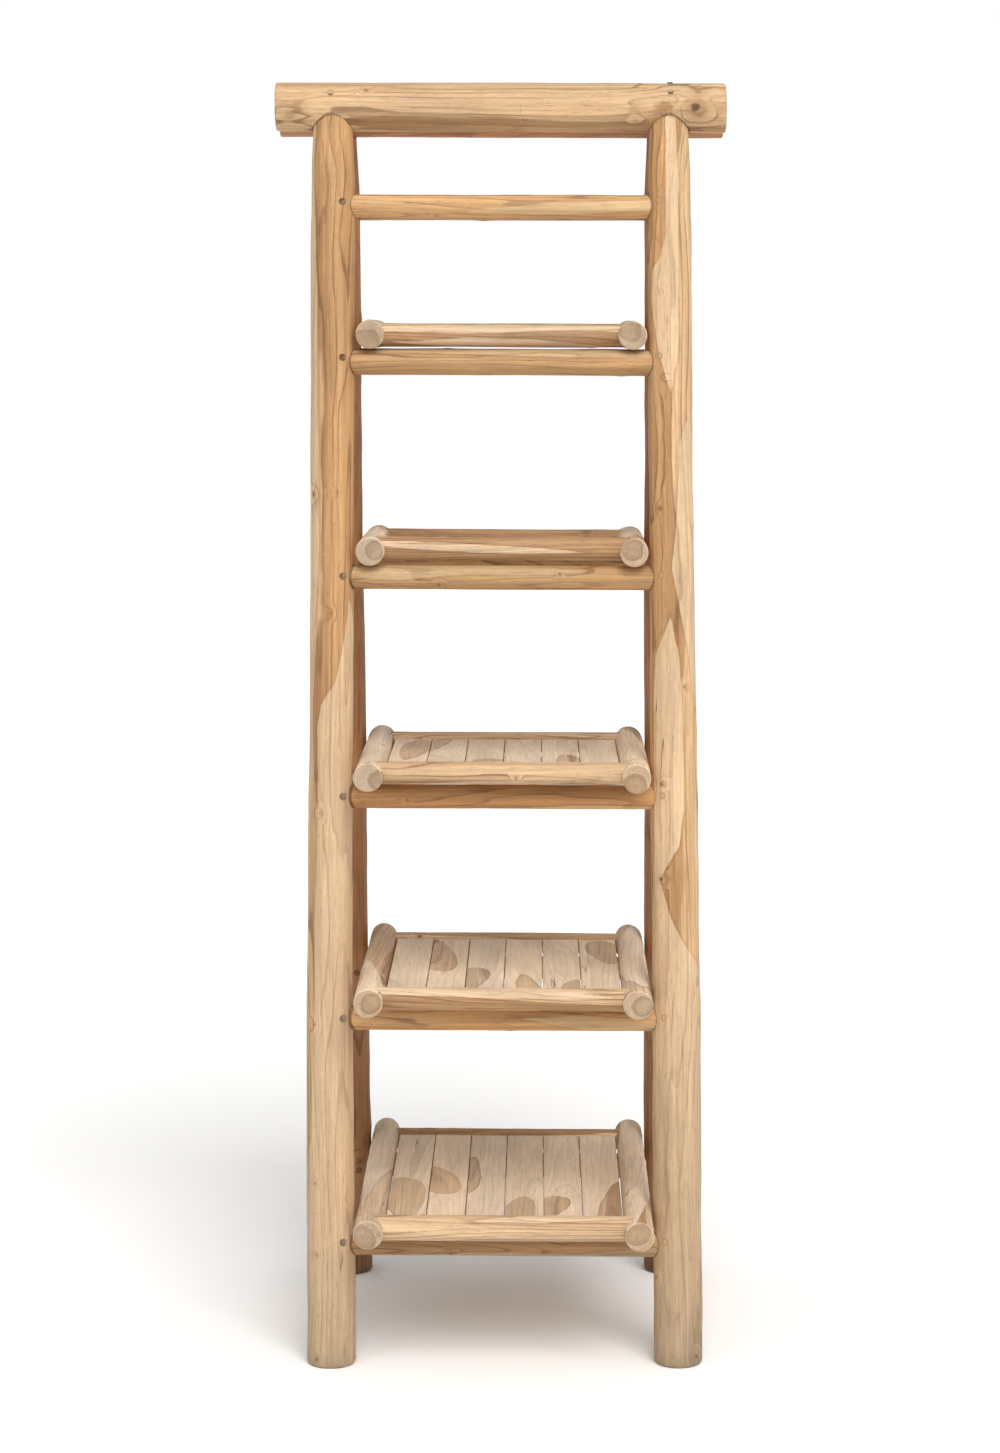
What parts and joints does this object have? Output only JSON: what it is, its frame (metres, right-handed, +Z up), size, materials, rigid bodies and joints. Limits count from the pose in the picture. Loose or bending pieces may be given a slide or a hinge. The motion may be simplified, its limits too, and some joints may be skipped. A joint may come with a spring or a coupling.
{
  "type": "ladder shelf",
  "caption": "Folding A-frame ladder of round teak poles with a double top beam and loose slatted trays resting on its rungs as shelves.",
  "frame": {"origin": "on the floor, in the middle of the bounding box; the lowest tray, which is the deepest piece, is centred on it", "axes": "+Z up, -Y towards the front, where the trays come out, +X to the right as seen from the front; the beams and rungs run along X"},
  "size_m": [0.626, 0.5644, 1.75],
  "materials": {
    "log_wood": "sanded teak log, bare, with pale sapwood and browner heartwood",
    "rung_wood": "turned teak pole, bare and matt",
    "pole_wood": "round teak branch, sanded, bare and matt",
    "slat_wood": "planed teak board, bare and matt",
    "screw_steel": "dark zinc-plated steel",
    "hinge_steel": "plain zinc-plated steel"
  },
  "bodies": {
    "front_frame": {"front_frame_screws": "screw_steel", "front_left_leg": "log_wood", "front_right_leg": "log_wood", "front_rung_1": "rung_wood", "front_rung_2": "rung_wood", "front_rung_3": "rung_wood", "front_rung_4": "rung_wood", "front_rung_5": "rung_wood", "front_top_beam": "log_wood", "front_top_rung": "rung_wood", "hinge_front_screws": "hinge_steel", "hinge_left_front_leaf": "hinge_steel", "hinge_left_pin": "hinge_steel", "hinge_right_front_leaf": "hinge_steel", "hinge_right_pin": "hinge_steel"},
    "rear_frame": {"hinge_left_rear_leaf": "hinge_steel", "hinge_rear_screws": "hinge_steel", "hinge_right_rear_leaf": "hinge_steel", "rear_frame_screws": "screw_steel", "rear_left_leg": "log_wood", "rear_right_leg": "log_wood", "rear_rung_1": "rung_wood", "rear_rung_2": "rung_wood", "rear_rung_3": "rung_wood", "rear_rung_4": "rung_wood", "rear_rung_5": "rung_wood", "rear_top_beam": "log_wood", "rear_top_rung": "rung_wood"},
    "tray_1": {"tray_1_front_rail": "pole_wood", "tray_1_left_pole": "pole_wood", "tray_1_nails": "screw_steel", "tray_1_rear_rail": "pole_wood", "tray_1_right_pole": "pole_wood", "tray_1_slats": "slat_wood"},
    "tray_2": {"tray_2_front_rail": "pole_wood", "tray_2_left_pole": "pole_wood", "tray_2_nails": "screw_steel", "tray_2_rear_rail": "pole_wood", "tray_2_right_pole": "pole_wood", "tray_2_slats": "slat_wood"},
    "tray_3": {"tray_3_front_rail": "pole_wood", "tray_3_left_pole": "pole_wood", "tray_3_nails": "screw_steel", "tray_3_rear_rail": "pole_wood", "tray_3_right_pole": "pole_wood", "tray_3_slats": "slat_wood"},
    "tray_4": {"tray_4_front_rail": "pole_wood", "tray_4_left_pole": "pole_wood", "tray_4_nails": "screw_steel", "tray_4_rear_rail": "pole_wood", "tray_4_right_pole": "pole_wood", "tray_4_slats": "slat_wood"},
    "tray_5": {"tray_5_front_rail": "pole_wood", "tray_5_left_pole": "pole_wood", "tray_5_nails": "screw_steel", "tray_5_rear_rail": "pole_wood", "tray_5_right_pole": "pole_wood", "tray_5_slats": "slat_wood"}
  },
  "joints": [
    {"name": "frame_fold", "type": "hinge", "parent": "front_frame", "child": "rear_frame", "pos_m": [0, 0.0261, 1.6905], "axis": [1, 0, 0], "range_deg": [-11.8, 0]},
    {"name": "tray_1_slide", "type": "slide", "parent": "front_frame", "child": "tray_1", "axis": [0, -1, 0], "range_m": [0, 0.487]},
    {"name": "tray_2_slide", "type": "slide", "parent": "front_frame", "child": "tray_2", "axis": [0, -1, 0], "range_m": [0, 0.419]},
    {"name": "tray_3_slide", "type": "slide", "parent": "front_frame", "child": "tray_3", "axis": [0, -1, 0], "range_m": [0, 0.359]},
    {"name": "tray_4_slide", "type": "slide", "parent": "front_frame", "child": "tray_4", "axis": [0, -1, 0], "range_m": [0, 0.276]},
    {"name": "tray_5_slide", "type": "slide", "parent": "front_frame", "child": "tray_5", "axis": [0, -1, 0], "range_m": [0, 0.208]}
  ]
}
